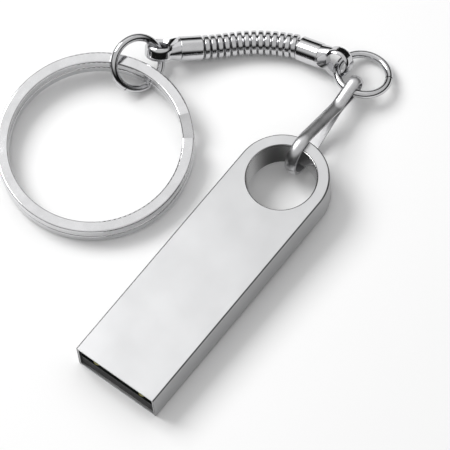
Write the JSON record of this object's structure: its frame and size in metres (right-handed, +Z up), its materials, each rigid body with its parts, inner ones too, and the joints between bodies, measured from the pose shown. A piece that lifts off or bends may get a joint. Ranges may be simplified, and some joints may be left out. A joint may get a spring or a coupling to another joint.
{
  "type": "usb flash drive",
  "caption": "Slim metal USB flash drive with a keyhole in its round end, a clip, jump rings, a short snake chain between ferrules and a split key ring.",
  "frame": {"origin": "centre of the plug's mouth, where it enters a port", "axes": "+X from the mouth towards the drive's round end, +Z up from the table the whole thing lies on, +Y towards the side where the chain and key ring lie; the drive itself is tipped about Y by 1.2 degrees, because its clip's leg lies under its rim"},
  "size_m": [0.0556, 0.0408, 0.0061],
  "materials": {
    "housing_metal": "satin, fine-blasted steel, all one piece",
    "carrier_plastic": "black moulded plastic",
    "glue": "clear amber epoxy film",
    "solder_mask": "very dark green solder mask",
    "moulding_resin": "black moulding resin",
    "silicon": "polished silicon",
    "ceramic": "tan ceramic with tinned ends",
    "gold_plate": "hard gold plating over copper, bright",
    "clip_plate": "nickel plated, polished",
    "jump_ring_plate": "nickel plated wire, polished",
    "ferrule_plate": "nickel plated casting, polished",
    "chain_plate": "nickel plated, polished",
    "split_ring_steel": "nickel plated spring steel, polished"
  },
  "bodies": {
    "drive": {"housing": "housing_metal", "carrier": "carrier_plastic", "glue_film": "glue", "module_substrate": "solder_mask", "module_moulding": "moulding_resin", "flash_die_first": "silicon", "flash_die_second": "silicon", "controller_die": "silicon", "capacitor_supply": "ceramic", "capacitor_core": "ceramic", "capacitor_flash": "ceramic", "resistor_pull_up": "ceramic", "contact_power": "gold_plate", "contact_data_minus": "gold_plate", "contact_data_plus": "gold_plate", "contact_ground": "gold_plate"},
    "clip": {"clip": "clip_plate"},
    "jump_ring_clip_side": {"jump_ring_clip_side": "jump_ring_plate"},
    "ferrule_clip_side": {"ferrule_clip_side": "ferrule_plate"},
    "chain_link_01": {"chain_link_01": "chain_plate"},
    "chain_link_02": {"chain_link_02": "chain_plate"},
    "chain_link_03": {"chain_link_03": "chain_plate"},
    "chain_link_04": {"chain_link_04": "chain_plate"},
    "chain_link_05": {"chain_link_05": "chain_plate"},
    "chain_link_06": {"chain_link_06": "chain_plate"},
    "chain_link_07": {"chain_link_07": "chain_plate"},
    "chain_link_08": {"chain_link_08": "chain_plate"},
    "chain_link_09": {"chain_link_09": "chain_plate"},
    "chain_link_10": {"chain_link_10": "chain_plate"},
    "chain_link_11": {"chain_link_11": "chain_plate"},
    "chain_link_12": {"chain_link_12": "chain_plate"},
    "chain_link_13": {"chain_link_13": "chain_plate"},
    "chain_link_14": {"chain_link_14": "chain_plate"},
    "ferrule_ring_side": {"ferrule_ring_side": "ferrule_plate"},
    "jump_ring_ring_side": {"jump_ring_ring_side": "jump_ring_plate"},
    "split_ring": {"split_ring": "split_ring_steel"}
  },
  "joints": [
    {"name": "clip_swing", "type": "hinge", "parent": "drive", "child": "clip", "pos_m": [0.03812, 0.00085, 0.00081], "axis": [-0.0593, 0.9982, 0], "range_deg": [-140, 140]},
    {"name": "clip_ring_swing", "type": "hinge", "parent": "clip", "child": "jump_ring_clip_side", "pos_m": [0.04871, 0.00144, 0.00031], "axis": [0.116, -0.9928, -0.0299], "range_deg": [-30, 30]},
    {"name": "first_ferrule_swing", "type": "hinge", "parent": "jump_ring_clip_side", "child": "ferrule_clip_side", "pos_m": [0.05099, 0.00501, -0.00028], "axis": [-0.9303, -0.2777, 0.2398], "range_deg": [-40, 8]},
    {"name": "chain_joint_01", "type": "hinge", "parent": "ferrule_clip_side", "child": "chain_link_01", "pos_m": [0.05003, 0.01112, -0.00055], "axis": [0.1692, 0.1688, 0.971], "range_deg": [-29.23, 0.77]},
    {"name": "chain_joint_02", "type": "hinge", "parent": "chain_link_01", "child": "chain_link_02", "pos_m": [0.04967, 0.01192, -0.00063], "axis": [-0.8942, -0.4478, 0], "range_deg": [-3.61, 8.61]},
    {"name": "chain_joint_03", "type": "hinge", "parent": "chain_link_02", "child": "chain_link_03", "pos_m": [0.04928, 0.01271, -0.00067], "axis": [0, 0, 1], "range_deg": [-8.61, 3.61]},
    {"name": "chain_joint_04", "type": "hinge", "parent": "chain_link_03", "child": "chain_link_04", "pos_m": [0.04885, 0.01348, -0.00067], "axis": [-0.8517, -0.524, 0], "range_deg": [-6.11, 6.11]},
    {"name": "chain_joint_05", "type": "hinge", "parent": "chain_link_04", "child": "chain_link_05", "pos_m": [0.04839, 0.01423, -0.00067], "axis": [0, 0, 1], "range_deg": [-9.1, 4.1]},
    {"name": "chain_joint_06", "type": "hinge", "parent": "chain_link_05", "child": "chain_link_06", "pos_m": [0.0479, 0.01495, -0.00067], "axis": [-0.8028, -0.5962, 0], "range_deg": [-6.11, 6.11]},
    {"name": "chain_joint_07", "type": "hinge", "parent": "chain_link_06", "child": "chain_link_07", "pos_m": [0.04737, 0.01566, -0.00067], "axis": [0, 0, 1], "range_deg": [-9.1, 4.1]},
    {"name": "chain_joint_08", "type": "hinge", "parent": "chain_link_07", "child": "chain_link_08", "pos_m": [0.04682, 0.01634, -0.00067], "axis": [-0.7478, -0.6639, 0], "range_deg": [-6.11, 6.11]},
    {"name": "chain_joint_09", "type": "hinge", "parent": "chain_link_08", "child": "chain_link_09", "pos_m": [0.04623, 0.017, -0.00067], "axis": [0, 0, 1], "range_deg": [-9.1, 4.1]},
    {"name": "chain_joint_10", "type": "hinge", "parent": "chain_link_09", "child": "chain_link_10", "pos_m": [0.04562, 0.01763, -0.00067], "axis": [-0.6871, -0.7266, 0], "range_deg": [-3.91, 8.31]},
    {"name": "chain_joint_11", "type": "hinge", "parent": "chain_link_10", "child": "chain_link_11", "pos_m": [0.04498, 0.01824, -0.00063], "axis": [0.056, -0.0524, 0.9971], "range_deg": [-6.52, 5.92]},
    {"name": "chain_joint_12", "type": "hinge", "parent": "chain_link_11", "child": "chain_link_12", "pos_m": [0.04434, 0.01884, -0.00057], "axis": [-0.6794, -0.7337, 0], "range_deg": [-3.8, 8.2]},
    {"name": "chain_joint_13", "type": "hinge", "parent": "chain_link_12", "child": "chain_link_13", "pos_m": [0.0437, 0.01943, -0.00047], "axis": [0.1128, -0.1034, 0.9882], "range_deg": [-6.52, 5.92]},
    {"name": "chain_joint_14", "type": "hinge", "parent": "chain_link_13", "child": "chain_link_14", "pos_m": [0.04306, 0.02002, -0.00033], "axis": [-0.6717, -0.7408, 0], "range_deg": [-4.39, 8.79]},
    {"name": "chain_joint_15", "type": "hinge", "parent": "chain_link_14", "child": "ferrule_ring_side", "pos_m": [0.04242, 0.0206, -0.00016], "axis": [0.17, -0.1525, 0.9736], "range_deg": [-6.52, 5.93]},
    {"name": "ring_side_jump_ring_swing", "type": "hinge", "parent": "ferrule_ring_side", "child": "jump_ring_ring_side", "pos_m": [0.0389, 0.02425, 0.00063], "axis": [0.2068, 0.6329, 0.7461], "range_deg": [-8, 15]},
    {"name": "split_ring_turn", "type": "hinge", "parent": "jump_ring_ring_side", "child": "split_ring", "pos_m": [0.0239, 0.0224, -0.00162], "axis": [-0.0491, -0.0116, 0.9987], "continuous": true}
  ]
}
